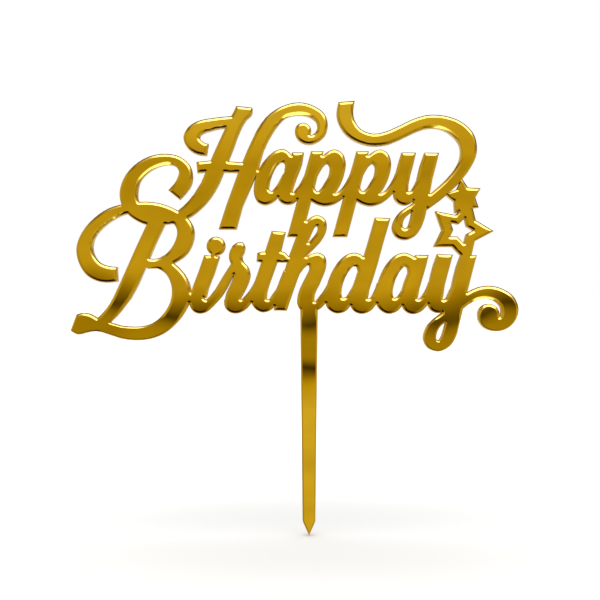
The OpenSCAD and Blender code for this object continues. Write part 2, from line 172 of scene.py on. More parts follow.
@dataclass(frozen=True)
class GoldMirror:
    """Cast acrylic tinted gold over mirror metal: a deep glossy mirror that is barely wavy.

    With turn_over, its light is tipped over along the marked curves, top to bottom.
    """

    name: str = "gold_mirror_acrylic"
    tint: str = "#CDA117"
    deep_tint: str = "#C79B13"
    clear: float = 0.15
    clear_roughness: float = 0.03
    roughness: float = 0.02
    smudge_roughness: float = 0.05
    smudge_mm: float = 9.0
    smudge_span: Span = (0.4, 0.8)
    wave_mm: float = 22.0
    wave_height_mm: float = 0.012
    turn_over: float = 0.0

    def normal(self, tree: bpy.types.NodeTree) -> Socket:
        """Tips the surface over by the share that its curves are marked with.

        Args:
            tree: The material's nodes.

        Returns:
            The tipped normal.
        """
        curve = add_node(tree, "ShaderNodeAttribute", {"attribute_name": INNER_CURVE})
        upright = add_node(tree, "ShaderNodeMapRange", inputs={
            "Value": curve.outputs["Fac"], "To Min": 1.0, "To Max": 1.0 - self.turn_over})
        scale = add_node(tree, "ShaderNodeCombineXYZ", inputs={
            "X": 1.0, "Y": 1.0, "Z": upright.outputs["Result"]})
        tipped = add_node(tree, "ShaderNodeVectorMath", {"operation": "MULTIPLY"}, {
            0: add_node(tree, "ShaderNodeNewGeometry").outputs["Normal"],
            1: scale.outputs["Vector"]})
        return add_node(tree, "ShaderNodeVectorMath", {"operation": "NORMALIZE"}, {
            0: tipped.outputs["Vector"]}).outputs["Vector"]

    def material(self) -> bpy.types.Material:
        """Builds the node material.

        Returns:
            The material.
        """
        material, tree = new_material(self.name)
        place = add_node(tree, "ShaderNodeTexCoord").outputs["Object"]
        cast = add_node(tree, "ShaderNodeTexNoise", inputs={
            "Vector": place, "Scale": pattern_scale(self.wave_mm), "Detail": 1.0})
        smudge = add_node(tree, "ShaderNodeTexNoise", inputs={
            "Vector": place, "Scale": pattern_scale(self.smudge_mm), "Detail": 4.0})
        colour = add_node(tree, "ShaderNodeMix", {"data_type": "RGBA"}, {
            "Factor": smudge.outputs["Fac"], "A": linear(self.tint),
            "B": linear(self.deep_tint)})
        gloss = add_node(tree, "ShaderNodeMapRange", inputs={
            "Value": smudge.outputs["Fac"], "From Min": self.smudge_span[0],
            "From Max": self.smudge_span[1], "To Min": self.roughness,
            "To Max": self.smudge_roughness})
        wave = add_node(tree, "ShaderNodeBump", inputs={
            "Height": cast.outputs["Fac"], "Distance": self.wave_height_mm * MM})
        if self.turn_over:
            tree.links.new(self.normal(tree), wave.inputs["Normal"])
        shader = add_node(tree, "ShaderNodeBsdfPrincipled", inputs={
            "Base Color": colour.outputs["Result"], "Metallic": 1.0,
            "Roughness": gloss.outputs["Result"], "Coat Weight": self.clear,
            "Coat IOR": ACRYLIC_IOR, "Coat Roughness": self.clear_roughness,
            "Normal": wave.outputs["Normal"]})
        add_node(tree, "ShaderNodeOutputMaterial", inputs={"Surface": shader.outputs["BSDF"]})
        return material


FACE_FINISH = GoldMirror()
RIM_FINISH = GoldMirror(
    name="rounded_gold_rim", tint="#DDB84E", deep_tint="#D6B046", clear=1.0, roughness=0.03,
    turn_over=1.6)


@dataclass(frozen=True)
class LaserCutWall:
    """Laser-cut edge of tinted acrylic, with fine cut lines: pale amber with a painted glow, as
    if lit from within, fading darker towards the mirror.
    """

    # Colours of the painted glow from within: palest at the front, darker at the mirror.
    front: str = "#F8E8BC"
    back: str = "#D9B467"
    roughness: float = 0.3
    shine: float = 0.3
    line_mm: float = 0.35
    line_stretch: float = 0.04
    line_depth_mm: float = 0.01

    def material(self, low_y: float, high_y: float) -> bpy.types.Material:
        """Builds the node material.

        Args:
            low_y: Place of the sheet's front, in metres.
            high_y: Place of the sheet's mirror, in metres.

        Returns:
            The material.
        """
        material, tree = new_material("laser_cut_acrylic_wall")
        place = add_node(tree, "ShaderNodeTexCoord").outputs["Object"]
        axes = add_node(tree, "ShaderNodeSeparateXYZ", inputs={"Vector": place})
        depth = add_node(tree, "ShaderNodeMapRange", inputs={
            "Value": axes.outputs["Y"], "From Min": low_y, "From Max": high_y})
        flat = add_node(tree, "ShaderNodeMapping", inputs={
            "Vector": place, "Scale": (1.0, self.line_stretch, 1.0)})
        lines = add_node(tree, "ShaderNodeTexNoise", inputs={
            "Vector": flat.outputs["Vector"], "Scale": pattern_scale(self.line_mm),
            "Detail": 2.0})
        ridge = add_node(tree, "ShaderNodeBump", inputs={
            "Height": lines.outputs["Fac"], "Distance": self.line_depth_mm * MM})
        # Painted glow: the wall is painted palest at the front and darker towards the mirror, as
        # if lit from within.
        colour = add_node(tree, "ShaderNodeMix", {"data_type": "RGBA"}, {
            "Factor": depth.outputs["Result"], "A": linear(self.front),
            "B": linear(self.back)})
        shader = add_node(tree, "ShaderNodeBsdfPrincipled", inputs={
            "Base Color": colour.outputs["Result"], "Roughness": self.roughness,
            "IOR": ACRYLIC_IOR, "Specular IOR Level": self.shine,
            "Normal": ridge.outputs["Normal"]})
        add_node(tree, "ShaderNodeOutputMaterial", inputs={"Surface": shader.outputs["BSDF"]})
        return material


@dataclass(frozen=True)
class MirrorMetal:
    """Vacuum-deposited mirror metal, seen only as a thin bright line at the cut."""

    tint: str = "#D8B04A"
    grain_mm: float = 0.4
    roughness: Span = (0.12, 0.3)

    def material(self) -> bpy.types.Material:
        """Builds the node material.

        Returns:
            The material.
        """
        material, tree = new_material("deposited_mirror_metal")
        place = add_node(tree, "ShaderNodeTexCoord").outputs["Object"]
        grain = add_node(tree, "ShaderNodeTexNoise", inputs={
            "Vector": place, "Scale": pattern_scale(self.grain_mm), "Detail": 2.0})
        gloss = add_node(tree, "ShaderNodeMapRange", inputs={
            "Value": grain.outputs["Fac"], "To Min": self.roughness[0],
            "To Max": self.roughness[1]})
        shader = add_node(tree, "ShaderNodeBsdfPrincipled", inputs={
            "Base Color": linear(self.tint), "Metallic": 1.0,
            "Roughness": gloss.outputs["Result"]})
        add_node(tree, "ShaderNodeOutputMaterial", inputs={"Surface": shader.outputs["BSDF"]})
        return material


@dataclass(frozen=True)
class BackCoat:
    """Sprayed protective lacquer: satin warm grey with a fine orange peel and faint clouding."""

    tint: str = "#A7A49D"
    cloud: str = "#9B9890"
    peel_mm: float = 0.9
    peel_depth_mm: float = 0.012
    cloud_mm: float = 25.0
    roughness: float = 0.42

    def material(self) -> bpy.types.Material:
        """Builds the node material.

        Returns:
            The material.
        """
        material, tree = new_material("sprayed_back_lacquer")
        place = add_node(tree, "ShaderNodeTexCoord").outputs["Object"]
        peel = add_node(tree, "ShaderNodeTexNoise", inputs={
            "Vector": place, "Scale": pattern_scale(self.peel_mm), "Detail": 2.0})
        cloud = add_node(tree, "ShaderNodeTexNoise", inputs={
            "Vector": place, "Scale": pattern_scale(self.cloud_mm), "Detail": 3.0})
        colour = add_node(tree, "ShaderNodeMix", {"data_type": "RGBA"}, {
            "Factor": cloud.outputs["Fac"], "A": linear(self.tint), "B": linear(self.cloud)})
        bump = add_node(tree, "ShaderNodeBump", inputs={
            "Height": peel.outputs["Fac"], "Distance": self.peel_depth_mm * MM})
        shader = add_node(tree, "ShaderNodeBsdfPrincipled", inputs={
            "Base Color": colour.outputs["Result"], "Roughness": self.roughness,
            "Normal": bump.outputs["Normal"]})
        add_node(tree, "ShaderNodeOutputMaterial", inputs={"Surface": shader.outputs["BSDF"]})
        return material


@dataclass
class AcrylicSheet:
    """The uncut sheet: one welded piece in place of the acrylic nodes. Its sizes are in mm.

    Attributes:
        outline_node: Node that gives the outline.
        coat_node: The other node that isn't acrylic.
        rim_w: Width of the rounded rim where it has room.
        rim_d: Depth of the rim.
        rim_turn: Turn of the rim from the wall to the flat front.
        rim_steps: Strips of faces in the rim.
        widest_share: Share of a stroke's width that one rim may take.
        spike_share: Share of the rim's width on the spike.
        spike_top: Height under which that holds.
        longest_miter: Longest move of a corner, for one mm of inset.
        merge: Distance within which doubled vertices are joined.
        weld: Length under which a strip's edge is closed.
        shortest: Length under which an outline edge is closed.
        longest: Length over which one is halved.
        probe: How far inside the wall the width is measured from.
        open_width: Width that is taken where no wall is met.
        slope: Change of a share allowed in one mm.
        square: Side of the squares searched for cuts.
        near_cut: How far from a cut the rim is made narrower.
        trials: Number of trial rims.
        tighter: Factor that makes a rim narrower.
        notch_turn: Angle of the sheet from which a vertex is a notch.
        notch_cut: Size of the round in a notch.
        notch_steps: Edges of that round.
        sharp_turn: Angle from which two faces meet in a sharp edge.
        flat_turn: Tilt under which a face belongs to the flat front.
        flat_cosine: Cosine of the tilt under which a face is shaded flat.
        wall_slack: How far before the rim a wall may end.
        bend_reach: Length that a bend is measured on.
        bend_span: Turn per mm at which a curve starts to count, and counts in full.
        corner_turn: Turn that makes a vertex a corner, and no bend.
        corner_bend: Turn per mm that makes it one.
        overhang: How steeply an edge has to face down to count in full.
        back: Depth of the acrylic's back.
        front: Depth of its front.
        rim_y: Depth at which the walls end and the rim starts.
    """

    outline_node: str = METAL_NODE
    coat_node: str = COAT_NODE
    rim_w: float = 1.0
    rim_d: float = 0.7
    rim_turn: float = math.radians(72)
    rim_steps: int = 8
    widest_share: float = 0.4
    spike_share: float = 0.55
    spike_top: float = -3.0
    longest_miter: float = 1.8
    merge: float = 0.003
    weld: float = 0.03
    shortest: float = 0.14
    longest: float = 1.4
    probe: float = 0.09
    open_width: float = 3.0
    slope: float = 0.2
    square: float = 0.5
    near_cut: float = 2.0
    trials: int = 8
    tighter: float = 0.8
    notch_turn: float = math.radians(205)
    notch_cut: float = 0.15
    notch_steps: int = 8
    sharp_turn: float = math.radians(35)
    flat_turn: float = math.radians(8)
    flat_cosine: float = 0.99999
    wall_slack: float = 0.0075
    bend_reach: float = 3.0
    bend_span: Span = (0.01, 0.04)
    corner_turn: float = math.radians(16)
    corner_bend: float = 0.8
    overhang: float = 0.3
    back: float = field(init=False)
    front: float = field(init=False)
    rim_y: float = field(init=False)

    def __post_init__(self) -> None:
        """Takes the acrylic's depths from the frame."""
        self.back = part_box(self.outline_node)[0].y / MM
        self.front = min(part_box(n)[0].y for n in self.figures()) / MM
        self.rim_y = self.front + self.rim_d

    def build(self) -> bpy.types.Object:
        """Builds the sheet from the outline of the mirror layer.

        Returns:
            The new piece, at the origin.
        """
        mesh = bmesh.new()
        mesh.from_mesh(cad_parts[self.outline_node].data)
        bmesh.ops.scale(mesh, verts=mesh.verts, vec=Vector((1 / MM, 1 / MM, 1 / MM)))
        self.keep_outline(mesh)
        self.fill(mesh, mesh.edges)
        bmesh.ops.delete(mesh, geom=[e for e in mesh.edges if e.is_wire], context="EDGES")
        while long := [e for e in mesh.edges
                       if e.is_boundary and e.calc_length() > self.longest]:
            bmesh.ops.bisect_edges(mesh, edges=long, cuts=1)
        self.raise_front(mesh)
        self.shade(mesh)
        bmesh.ops.scale(mesh, verts=mesh.verts, vec=Vector((MM, MM, MM)))
        data = bpy.data.meshes.new("gold_sheet")
        mesh.to_mesh(data)
        mesh.free()
        piece = bpy.data.objects.new("gold_sheet", data)
        bpy.context.scene.collection.objects.link(piece)
        return piece

    def figures(self) -> list[str]:
        """Names of the acrylic nodes that the sheet stands for."""
        skins = (self.outline_node, self.coat_node)
        return [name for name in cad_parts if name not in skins]

    def keep_outline(self, mesh: bmesh.types.BMesh) -> None:
        """Keeps only the outline of the copy's front face, with tiny rounds in its notches.

        Args:
            mesh: Copy of the outline node's mesh.
        """
        bmesh.ops.remove_doubles(mesh, verts=mesh.verts, dist=self.merge)
        spare = [f for f in mesh.faces
                 if any(abs(v.co.y - self.back) > self.weld for v in f.verts)]
        bmesh.ops.delete(mesh, geom=spare, context="FACES")
        bmesh.ops.remove_doubles(mesh, verts=mesh.verts, dist=self.shortest)
        notches = [v for v in mesh.verts
                   if sum(loop.calc_angle() for loop in v.link_loops) > self.notch_turn]
        inner = [e for e in mesh.edges if not e.is_boundary]
        bmesh.ops.delete(mesh, geom=list(mesh.faces), context="FACES_ONLY")
        bmesh.ops.delete(mesh, geom=[e for e in inner if e.is_valid], context="EDGES")
        notches = [v for v in notches if v.is_valid and len(v.link_edges) == 2]
        bmesh.ops.bevel(
            mesh, geom=notches, affect="VERTICES", offset=self.notch_cut,
            segments=self.notch_steps, profile=0.5, clamp_overlap=True, material=-1)
        bmesh.ops.remove_doubles(mesh, verts=mesh.verts, dist=self.merge)
        loose = [v for v in mesh.verts if len(v.link_edges) < 2]
        bmesh.ops.delete(mesh, geom=loose, context="VERTS")

    def fill(self, mesh: bmesh.types.BMesh, edges: list[bmesh.types.BMEdge]) -> None:
        """Fills the area between the outline and its holes, to face the front."""
        bmesh.ops.triangle_fill(
            mesh, use_beauty=True, edges=edges, normal=Vector((0, -1, 0)))

    def rings(self, mesh: bmesh.types.BMesh) -> list[Ring]:
        """Walks round the flat face's boundaries.

        Args:
            mesh: The filled outline.

        Returns:
            Vertices of each boundary in order, with the sheet on their left from the front.
        """
        onward = {}
        for edge in mesh.edges:
            if edge.is_boundary:
                loop = edge.link_loops[0]
                onward[loop.vert] = loop.link_loop_next.vert
        rings = []
        while onward:
            start, vert = onward.popitem()
            ring = [start]
            while vert is not start:
                ring.append(vert)
                vert = onward.pop(vert)
            rings.append(ring)
        return rings

    def inward(self, ring: Ring, i: int) -> Vector:
        """Direction into the sheet at a vertex, longer at a corner to keep the rim even.

        Args:
            ring: Vertices of a boundary.
            i: Number of the vertex.

        Returns:
            Move for one mm of inset.
        """
        before = (ring[i].co - ring[i - 1].co).normalized()
        after = (ring[(i + 1) % len(ring)].co - ring[i].co).normalized()
        sides = Vector((-before.z, 0, before.x)) + Vector((-after.z, 0, after.x))
        if sides.length < self.weld:
            return Vector((0, 0, 0))
        return sides.normalized() * min(2 / sides.length, self.longest_miter)

    def step(self, mesh: bmesh.types.BMesh, rings: list[Ring], shares: list[Shares],
             width: float, rise: float) -> tuple[list[Ring], list[Shares]]:
        """Grows a strip from each ring, in and forward, and closes edges that shrink away.

        Args:
            mesh: The sheet so far.
            rings: Vertices of the open edges.
            shares: Share of the width that each vertex has room for.
            width: How far in the strips go.
            rise: How far forward they go.

        Returns:
            The strips' new open edges and their shares.
        """
        edges = [mesh.edges.get((ring[i - 1], vert)) for ring in rings
                 for i, vert in enumerate(ring)]
        grown = bmesh.ops.extrude_edge_only(mesh, edges=edges)["geom"]
        fresh = {v for v in grown if isinstance(v, bmesh.types.BMVert)}
        kept, room, target = [], [], {}
        for ring, reach in zip(rings, shares):
            moved = [next(e.other_vert(v) for e in v.link_edges if e.other_vert(v) in fresh)
                     for v in ring]
            for i, vert in enumerate(moved):
                vert.co += self.inward(ring, i) * width * reach[i] + Vector((0, -rise, 0))
            kept.append([moved[0]])
            room.append([reach[0]])
            for i in range(1, len(moved)):
                now, old = moved[i].co - kept[-1][-1].co, ring[i].co - ring[i - 1].co
                if width and (now.dot(old) <= 0 or now.length < min(self.weld, old.length)):
                    target[moved[i]] = kept[-1][-1]
                else:
                    kept[-1].append(moved[i])
                    room[-1].append(reach[i])
        bmesh.ops.weld_verts(mesh, targetmap=target)
        return kept, room

    def mark_curves(self, layer: bmesh.types.BMLayerItem, rings: list[Ring]) -> None:
        """Marks the inward curves that face down, whose rim catches light from above.

        Args:
            layer: Layer of the mark on each vertex.
            rings: Vertices of the flat face's boundaries.
        """
        least, full = self.bend_span
        for ring in rings:
            shares = []
            for i in range(len(ring)):
                bend = min(self.bend(ring, i, 1), self.bend(ring, i, -1))
                shares.append(clamp((bend - least) / (full - least))
                              * clamp(self.inward(ring, i).z / self.overhang))
            for vert, share in zip(ring, self.even(ring, shares)):
                vert[layer] = share

    def bend(self, ring: Ring, i: int, way: int) -> float:
        """Measures how a boundary bends round the open side, on one side of a vertex.

        Args:
            ring: Vertices of the boundary.
            i: Number of the vertex.
            way: 1 to look onward, -1 to look back.

        Returns:
            Turn per mm, above zero where the sheet is on the outside of the bend.
        """
        length = turn = 0.0
        for k in range(1, len(ring)):
            here = ring[(i + k * way) % len(ring)].co
            before = here - ring[(i + (k - 1) * way) % len(ring)].co
            after = ring[(i + (k + 1) * way) % len(ring)].co - here
            length += before.length
            if length > self.bend_reach:
                break
            angle = math.atan2(before.x * after.z - before.z * after.x, before.dot(after))
            limit = self.corner_bend * (before.length + after.length) / 2
            if abs(angle) < min(self.corner_turn, limit):
                turn += angle
        return -turn * way / self.bend_reach

    def room(self, walls: BVHTree, ring: Ring) -> Shares:
        """Measures how much of the rim's width fits at each vertex of a wall's ring.

        Args:
            walls: The sheet with its walls.
            ring: Vertices of the wall's front edge.

        Returns:
            Share of the width, from 0 to 1, evened out along the ring.
        """
        depth = Vector((0, (self.back - self.rim_y) / 2, 0))
        shares = []
        for i, vert in enumerate(ring):
            way = self.inward(ring, i).normalized()
            start = vert.co + depth + way * self.probe
            gap = walls.ray_cast(start, way)[3] or self.open_width
            widest = self.spike_share if vert.co.z < self.spike_top else 1.0
            shares.append(min(widest, self.widest_share * gap / self.rim_w))
        return self.even(ring, shares)

    def even(self, ring: Ring, shares: Shares) -> Shares:
        """Lowers shares where they would change too fast along a ring.

        Args:
            ring: Vertices of the ring.
            shares: Share of the width at each vertex.

        Returns:
            The evened shares.
        """
        shares = list(shares)
        for way in (1, -1):
            for k in range(2 * len(ring)):
                i, near = k * way % len(ring), (k - 1) * way % len(ring)
                gap = (ring[i].co - ring[near].co).length
                shares[i] = min(shares[i], shares[near] + self.slope * gap)
        return shares

    def crossings(self, edges: list[bmesh.types.BMEdge]) -> list[Vector]:
        """Finds where the rim's last edges cut each other, one square at a time.

        Args:
            edges: The rim's last edges.

        Returns:
            A place near each cut.
        """
        def side(p: Vector, q: Vector, r: Vector) -> float:
            """Above zero where r lies to the left of the line from p to q."""
            return (q.x - p.x) * (r.z - p.z) - (q.z - p.z) * (r.x - p.x)

        squares = defaultdict(list)
        for edge in edges:
            a, b = (v.co / self.square for v in edge.verts)
            for x in range(math.floor(min(a.x, b.x)), math.floor(max(a.x, b.x)) + 1):
                for z in range(math.floor(min(a.z, b.z)), math.floor(max(a.z, b.z)) + 1):
                    squares[x, z].append(edge)
        cuts = []
        for near in squares.values():
            for one, other in combinations(near, 2):
                if set(one.verts) & set(other.verts):
                    continue
                a, b, c, d = (v.co for v in (*one.verts, *other.verts))
                if (side(a, b, c) * side(a, b, d) < 0
                        and side(c, d, a) * side(c, d, b) < 0):
                    cuts += [(a + b) / 2, (c + d) / 2]
        return cuts

    def rim(self, mesh: bmesh.types.BMesh, rings: list[Ring],
            shares: list[Shares]) -> list[bmesh.types.BMEdge]:
        """Grows the elliptical rim from the walls' front edges.

        Args:
            mesh: The sheet with its walls.
            rings: Vertices of the walls' front edges.
            shares: Share of the rim's width that fits at each vertex.

        Returns:
            The open edges round the flat front.
        """
        across = self.rim_w / (1 - math.cos(self.rim_turn))
        deep = self.rim_d / math.sin(self.rim_turn)
        turns = [i * self.rim_turn / self.rim_steps for i in range(self.rim_steps + 1)]
        for turn, onward in zip(turns, turns[1:]):
            rings, shares = self.step(
                mesh, rings, shares, across * (math.cos(turn) - math.cos(onward)),
                deep * (math.sin(onward) - math.sin(turn)))
        last = [mesh.edges.get((ring[i - 1], vert)) for ring in rings
                for i, vert in enumerate(ring)]
        return [edge for edge in last if edge]

    def narrowed(self, ring: Ring, shares: Shares, cuts: list[Vector]) -> Shares:
        """Makes the rim narrower near its cuts.

        Args:
            ring: Vertices of a wall's front edge.
            shares: Share of the rim's width at each vertex.
            cuts: Places where the rim cuts itself.

        Returns:
            The new shares.
        """
        near = [any((v.co - cut).length < self.near_cut for cut in cuts) for v in ring]
        return self.even(ring, [share * self.tighter if cut else share
                                for share, cut in zip(shares, near)])

    def raise_front(self, mesh: bmesh.types.BMesh) -> None:
        """Raises the walls and the rounded rim from the outline, and closes the front.

        Where a trial rim runs into itself, in a narrow neck, it is made narrower there.

        Args:
            mesh: The flat face, at the back of the acrylic.
        """
        curve = mesh.verts.layers.float.new(INNER_CURVE)
        outlines = self.rings(mesh)
        self.mark_curves(curve, outlines)
        walls, _ = self.step(mesh, outlines, [[1.0] * len(ring) for ring in outlines], 0.0,
                             self.back - self.rim_y)
        standing = BVHTree.FromBMesh(mesh)
        shares = [self.room(standing, ring) for ring in walls]
        mesh.verts.index_update()
        for _ in range(self.trials):
            trial = mesh.copy()
            trial.verts.ensure_lookup_table()
            copies = [[trial.verts[v.index] for v in ring] for ring in walls]
            cuts = self.crossings(self.rim(trial, copies, shares))
            trial.free()
            if not cuts:
                break
            shares = [self.narrowed(ring, reach, cuts) for ring, reach in zip(walls, shares)]
            LOG.info("rim made narrower near %d cuts", len(cuts) // 2)
        self.fill(mesh, self.rim(mesh, walls, shares))
        gaps = [e for e in mesh.edges if e.is_boundary]
        bmesh.ops.holes_fill(mesh, edges=gaps, sides=0)
        bmesh.ops.recalc_face_normals(mesh, faces=mesh.faces)

    def shade(self, mesh: bmesh.types.BMesh) -> None:
        """Tells the parts of the surface apart, and smooth stretches from sharp edges.

        Args:
            mesh: The finished sheet.
        """
        mesh.normal_update()
        for face in mesh.faces:
            face.smooth = abs(face.normal.y) < self.flat_cosine
            part = Part.FACE if face.normal.y < -math.cos(self.flat_turn) else Part.RIM
            if all(v.co.y > self.rim_y - self.wall_slack for v in face.verts):
                part = Part.WALL
            face.material_index = part.value
        for edge in mesh.edges:
            parts = {face.material_index for face in edge.link_faces}
            edge.smooth = len(parts) == 1 and edge.calc_face_angle(0.0) < self.sharp_turn

    def dress(self, piece: bpy.types.Object) -> None:
        """Gives the sheet its finishes and puts it in the frame.

        Args:
            piece: The sheet.
        """
        piece.data.materials.append(FACE_FINISH.material())
        piece.data.materials.append(RIM_FINISH.material())
        piece.data.materials.append(LaserCutWall().material(self.front * MM, self.back * MM))
        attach(piece, "root")
        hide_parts(*self.figures())
        LOG.info("%s: %d faces", piece.name, len(piece.data.polygons))


@dataclass
class Backing:
    """The two thin layers behind the acrylic, kept from the frame."""

    metal_node: str = METAL_NODE
    coat_node: str = COAT_NODE

    def dress(self) -> None:
        """Gives each layer its finish."""
        for name, material in ((self.metal_node, MirrorMetal().material()),
                               (self.coat_node, BackCoat().material())):
            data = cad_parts[name].data
            data.materials.clear()
            data.materials.append(material)
            LOG.info("%s: %s", name, material.name)


@dataclass
class StudioWorld:
    """White studio. The mirror sees its wall and table from the front, and soft cards round it.

    Heights are in mm on the sheet, as the camera sees the wall mirrored there. A rim turns the
    reflection far up, down or aside, to cards that are told apart by how high they hang. Turns
    are in degrees, away from the way back to the camera.

    Attributes:
        strength: Strength of the white light for all but mirrors.
        viewer_mm: How far off the camera is.
        viewer_z_mm: Height of the camera.
        spike_side_mm: How far aside the spike alone reaches.
        letter_side_mm: How far aside no low band is left.
        letter_low_mm: Lowest height on the wall that the letters see.
        low_mm: Lowest height on the wall.
        high_mm: Highest one.
        least_ahead: Least part of a ray that runs back to the camera.
        bow: Drop of the bands for the fourth power of a mm aside.
        bow_side_mm: How far aside the bands go on dropping.
        lean: Rise of the bands for a mm to the right.
        patch: How far the bands wander up and down.
        patch_mm: Size of a stretch over which they wander.
        shade_mm: Length of the faint clouds on the wall.
        shade_turn: Their slant.
        shade_stretch: How many times longer than wide they are.
        shade_span: Part of their noise that is used.
        shade_gain: Brightness of the darkest and the brightest one.
        side_share: How much higher a card hangs for being to the right.
        pole: Keeps a card's height finite on the view's axis.
        card_turn: Turns between which the near cards come in.
        far_turn: Turns between which the far cards come in.
        lamp_start: Turns between which the lamp begins.
        lamp_end: Turns between which it ends.
        lamp_rise: Card heights between which it begins.
        lamp_gain: Brightness that the lamp adds.
        world: The world that is built.
        tree: Its nodes.
        axes: The direction of a ray.
    """

    strength: float = 0.6
    viewer_mm: float = 360.0
    viewer_z_mm: float = 3.5
    spike_side_mm: float = 8.0
    letter_side_mm: float = 18.0
    letter_low_mm: float = -12.0
    low_mm: float = -90.0
    high_mm: float = 150.0
    least_ahead: float = 0.05
    bow: float = 3e-7
    bow_side_mm: float = 72.0
    lean: float = 0.02
    patch: float = 4.0
    patch_mm: float = 18.0
    shade_mm: float = 26.0
    shade_turn: float = math.radians(-35)
    shade_stretch: float = 2.5
    shade_span: Span = (0.3, 0.7)
    shade_gain: Span = (0.9, 1.14)
    side_share: float = 0.28
    pole: float = 1.0001
    card_turn: Span = (14.5, 20.0)
    far_turn: Span = (62.0, 74.0)
    lamp_start: Span = (20.0, 34.0)
    lamp_end: Span = (56.0, 68.0)
    lamp_rise: Span = (0.74, 0.92)
    lamp_gain: float = 4.0
    world: bpy.types.World = field(init=False)
    tree: bpy.types.NodeTree = field(init=False)
    axes: bpy.types.bpy_prop_collection = field(init=False)

    def __post_init__(self) -> None:
        """Starts an empty world and takes a ray's direction in it."""
        self.world = bpy.data.worlds.new("studio")
        self.world.use_nodes = True
        self.tree = self.world.node_tree
        self.tree.nodes.clear()
        way = add_node(self.tree, "ShaderNodeTexCoord").outputs["Generated"]
        self.axes = add_node(self.tree, "ShaderNodeSeparateXYZ", inputs={"Vector": way}).outputs

    def wall(self) -> Bands:
        """Height and colour of each band of the wall and table in front."""
        return [(-74.0, "#F8F7D3"), (-33.0, "#FFFFFF"), (-26.0, "#EDE359"), (-23.4, "#978900"),
                (-20.8, "#2E2800"), (-18.0, "#A99E20"), (-16.4, "#C6BC34"), (-9.4, "#C6BC34"),
                (-6.6, "#A99E10"), (-4.0, "#4A4206"), (-2.4, "#7C7200"), (0.5, "#A0960E"),
                (3.0, "#C4B93A"), (8.0, "#EAE39E"), (24.0, "#EAE39E"), (38.0, "#DCD480"),
                (50.0, "#DCD480"), (60.0, "#F2ECBC"), (68.0, "#FFFFFF"), (150.0, "#FFFFFF")]

    def near_cards(self) -> Bands:
        """Colour of the cards beside the camera, by height from -1, below, to 1, above."""
        return [(-1.0, "#2E1400"), (-0.86, "#5C4000"), (-0.66, "#B49D21"), (-0.4, "#CABA44"),
                (0.3, "#D3C554"), (0.5, "#A88F24"), (0.72, "#F3EBB0"), (0.85, "#FFFFFF")]

    def far_cards(self) -> Bands:
        """Colour of the cards behind the topper, by height from -1, below, to 1, above."""
        return [(-1.0, "#EADDBC"), (-0.5, "#C1AE74"), (-0.15, "#E2D2A0"), (0.25, "#E2D2A0"),
                (0.5, "#77600C"), (0.9, "#513800")]

    def build(self) -> None:
        """Builds the world's nodes and puts it in the scene."""
        mirrored = add_node(self.tree, "ShaderNodeBackground", inputs={
            "Color": self.mirrored_colour(), "Strength": self.mirrored_gain()})
        ambient = add_node(self.tree, "ShaderNodeBackground", inputs={
            "Color": WHITE, "Strength": self.strength})
        white = add_node(self.tree, "ShaderNodeBackground", inputs={
            "Color": WHITE, "Strength": 1.0})
        ray = add_node(self.tree, "ShaderNodeLightPath").outputs
        seen = add_node(self.tree, "ShaderNodeMixShader", inputs={
            "Fac": ray["Is Camera Ray"], 1: ambient.outputs["Background"],
            2: white.outputs["Background"]})
        glossy = add_node(self.tree, "ShaderNodeMixShader", inputs={
            "Fac": ray["Is Glossy Ray"], 1: seen.outputs["Shader"],
            2: mirrored.outputs["Background"]})
        add_node(self.tree, "ShaderNodeOutputWorld", inputs={"Surface": glossy.outputs["Shader"]})
        bpy.context.scene.world = self.world

    def ramp(self, value: Socket, low: float, high: float, stops: Bands) -> Socket:
        """Colours a value by bands.

        Args:
            value: The value.
            low: Value at the ramp's start.
            high: Value at the ramp's end.
            stops: Value and colour of each band.

        Returns:
            The colour.
        """
        share = add_node(self.tree, "ShaderNodeMapRange", inputs={
            "Value": value, "From Min": low, "From Max": high})
        ramp = add_node(self.tree, "ShaderNodeValToRGB", inputs={"Fac": share.outputs["Result"]})
        fill_ramp(ramp, [((v - low) / (high - low), linear(code)) for v, code in stops])
        return ramp.outputs["Color"]

    def turned(self, turns: Span) -> Socket:
        """Rises from 0 to 1 while a ray turns away from the way back to the camera.

        Args:
            turns: Turns at which it is 0 and 1, in degrees.

        Returns:
            The share.
        """
        start, end = (-math.cos(math.radians(turn)) for turn in turns)
        share = add_node(self.tree, "ShaderNodeMapRange", {"interpolation_type": "SMOOTHSTEP"}, {
            "Value": self.axes["Y"], "From Min": start, "From Max": end})
        return share.outputs["Result"]

    def card_height(self) -> Socket:
        """Height of a card round the view's axis, where one to the right counts as higher.

        Returns:
            The height, about 1 straight up and -1 straight down.
        """
        rise = add_node(self.tree, "ShaderNodeMath", {"operation": "MULTIPLY_ADD"}, {
            0: self.axes["X"], 1: self.side_share, 2: self.axes["Z"]})
        out = add_node(self.tree, "ShaderNodeMath", {"operation": "MULTIPLY_ADD"}, {
            0: self.axes["Y"], 1: self.axes["Y"], 2: -self.pole})
        flat = add_node(self.tree, "ShaderNodeMath", {"operation": "ABSOLUTE"}, {
            0: out.outputs["Value"]})
        reach = add_node(self.tree, "ShaderNodeMath", {"operation": "SQRT"}, {
            0: flat.outputs["Value"]})
        height = add_node(self.tree, "ShaderNodeMath", {"operation": "DIVIDE"}, {
            0: rise.outputs["Value"], 1: reach.outputs["Value"]})
        return height.outputs["Value"]

